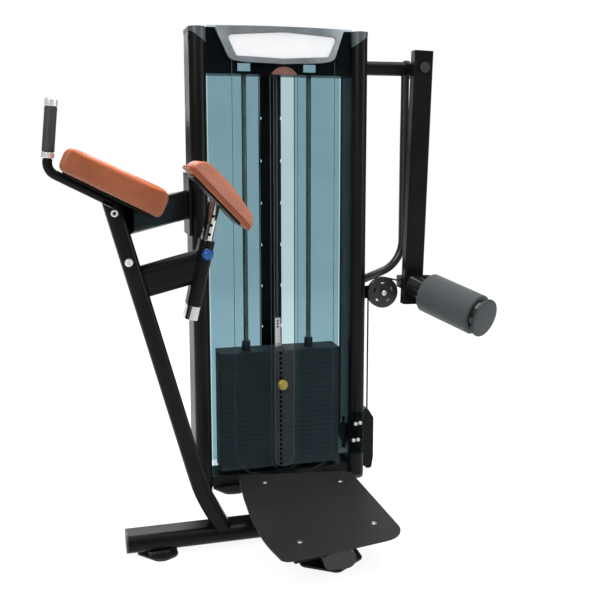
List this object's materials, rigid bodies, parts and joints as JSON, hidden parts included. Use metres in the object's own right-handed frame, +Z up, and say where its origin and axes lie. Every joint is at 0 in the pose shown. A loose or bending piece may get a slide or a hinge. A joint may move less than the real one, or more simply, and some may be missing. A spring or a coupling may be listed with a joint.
{
  "type": "standing glute kickback machine",
  "caption": "Standing hip-extension machine: enclosed weight tower, cable-driven swing arm with foam roller, foot plate, forearm rest, chest pad and grip.",
  "frame": {"origin": "on the floor, under the middle of the machine's overall footprint", "axes": "+Z up; +Y away from the user's side, from the foot plate towards the tower's back; +X towards the swing arm's side"},
  "size_m": [1.3576, 0.9044, 1.487],
  "materials": {
    "gloss_black": "gloss black powder coat",
    "charcoal_plate": "textured dark grey",
    "bare_steel": "satin steel",
    "chrome": "polished",
    "silver": "satin silver",
    "cap_plastic": "satin grey-blue moulded plastic",
    "white_panel": "smooth white",
    "tint": "clear teal-grey tinted plastic sheet",
    "terracotta": "dotted texture",
    "black_plastic": "satin black",
    "rubber": "matt black",
    "iron": "black painted",
    "leather": "grained brown-orange upholstery",
    "foam": "dull grey-blue closed-cell foam",
    "yellow": "glossy yellow",
    "blue": "glossy blue",
    "cable": "black coated cable"
  },
  "bodies": {
    "frame": {"spine_beam": "gloss_black", "front_beam": "gloss_black", "beam_caps": "black_plastic", "rubber_feet": "rubber", "foot_plate": "charcoal_plate", "plate_risers": "gloss_black", "left_post": "gloss_black", "right_post": "gloss_black", "post_caps": "cap_plastic", "base_beam": "gloss_black", "top_beam": "gloss_black", "pulley_hanger": "gloss_black", "front_cover": "tint", "rear_covers": "tint", "rear_upright": "gloss_black", "shroud": "silver", "shroud_panel": "white_panel", "slot_cap": "terracotta", "guide_rods": "bare_steel", "stack_bumpers": "rubber", "resting_plates": "iron", "main_cable": "cable", "side_bracket": "gloss_black", "lower_guard": "black_plastic", "guard_window": "tint", "frame_bolts": "chrome", "pivot_bracket": "gloss_black", "brace": "gloss_black", "leg": "gloss_black", "upper_link": "gloss_black", "lower_link": "gloss_black", "pad_support": "gloss_black", "handle_grip": "rubber", "grip_collars": "chrome", "elbow_pad": "leather", "chest_sleeve": "gloss_black", "sleeve_ferrule": "chrome"},
    "stack": {"top_plate": "iron", "lifted_plates": "iron", "plate_bushings": "black_plastic", "selector_stem": "bare_steel", "stack_cable": "cable", "lanyard": "cable"},
    "pin": {"selector_pin": "bare_steel", "pin_knob": "yellow"},
    "arm": {"swing_arm": "gloss_black", "arm_bracket": "gloss_black", "pivot_shaft": "black_plastic", "roller_axle": "bare_steel", "arm_cable": "cable"},
    "roller": {"roller_foam": "foam", "roller_caps": "cap_plastic"},
    "side_wheel": {"side_pulley": "black_plastic"},
    "lower_wheel": {"lower_pulley": "black_plastic"},
    "top_wheel_left": {"top_pulley_left": "black_plastic"},
    "top_wheel_right": {"top_pulley_right": "black_plastic"},
    "chest": {"chest_pad": "leather", "chest_board": "gloss_black", "chest_tube": "chrome"},
    "knob": {"lock_knob": "blue"}
  },
  "joints": [
    {"name": "stack_lift", "type": "slide", "parent": "frame", "child": "stack", "axis": [0, 0, 1], "range_m": [0, 0.6], "deforming": ["stack_cable"]},
    {"name": "pin_pull", "type": "slide", "parent": "stack", "child": "pin", "axis": [0, -1, 0], "range_m": [0, 0.08]},
    {"name": "arm_swing", "type": "hinge", "parent": "frame", "child": "arm", "pos_m": [0.51693, 0.28217, 1.376], "axis": [0, -1, 0], "range_deg": [0, 50]},
    {"name": "roller_spin", "type": "hinge", "parent": "arm", "child": "roller", "pos_m": [0.51493, 0.18717, 0.646], "axis": [0.4845, -0.8392, -0.247], "continuous": true},
    {"name": "side_wheel_spin", "type": "hinge", "parent": "frame", "child": "side_wheel", "pos_m": [0.40993, 0.34017, 0.6265], "axis": [0, 1, 0], "range_deg": [0, 720]},
    {"name": "lower_wheel_spin", "type": "hinge", "parent": "frame", "child": "lower_wheel", "pos_m": [0.30893, 0.34017, 0.14], "axis": [0, 1, 0], "range_deg": [-720, 0]},
    {"name": "top_wheel_left_spin", "type": "hinge", "parent": "frame", "child": "top_wheel_left", "pos_m": [0.08793, 0.34017, 1.422], "axis": [0, 1, 0], "range_deg": [0, 720]},
    {"name": "top_wheel_right_spin", "type": "hinge", "parent": "frame", "child": "top_wheel_right", "pos_m": [0.21093, 0.34017, 1.422], "axis": [0, 1, 0], "range_deg": [0, 720]},
    {"name": "chest_adjust", "type": "slide", "parent": "frame", "child": "chest", "axis": [0.2198, 0, 0.9755], "range_m": [-0.05, 0.075]},
    {"name": "knob_pull", "type": "slide", "parent": "frame", "child": "knob", "axis": [0, -1, 0], "range_m": [0, 0.012], "stiffness_N_per_m": 500, "springref_m": -0.004}
  ],
  "couplings": [
    {"joint": "arm_swing", "follows": "stack_lift", "rad_per_m": 1.4543},
    {"joint": "side_wheel_spin", "follows": "stack_lift", "rad_per_m": 19.608},
    {"joint": "lower_wheel_spin", "follows": "stack_lift", "rad_per_m": -20},
    {"joint": "top_wheel_left_spin", "follows": "stack_lift", "rad_per_m": 20.833},
    {"joint": "top_wheel_right_spin", "follows": "stack_lift", "rad_per_m": 20.833}
  ]
}
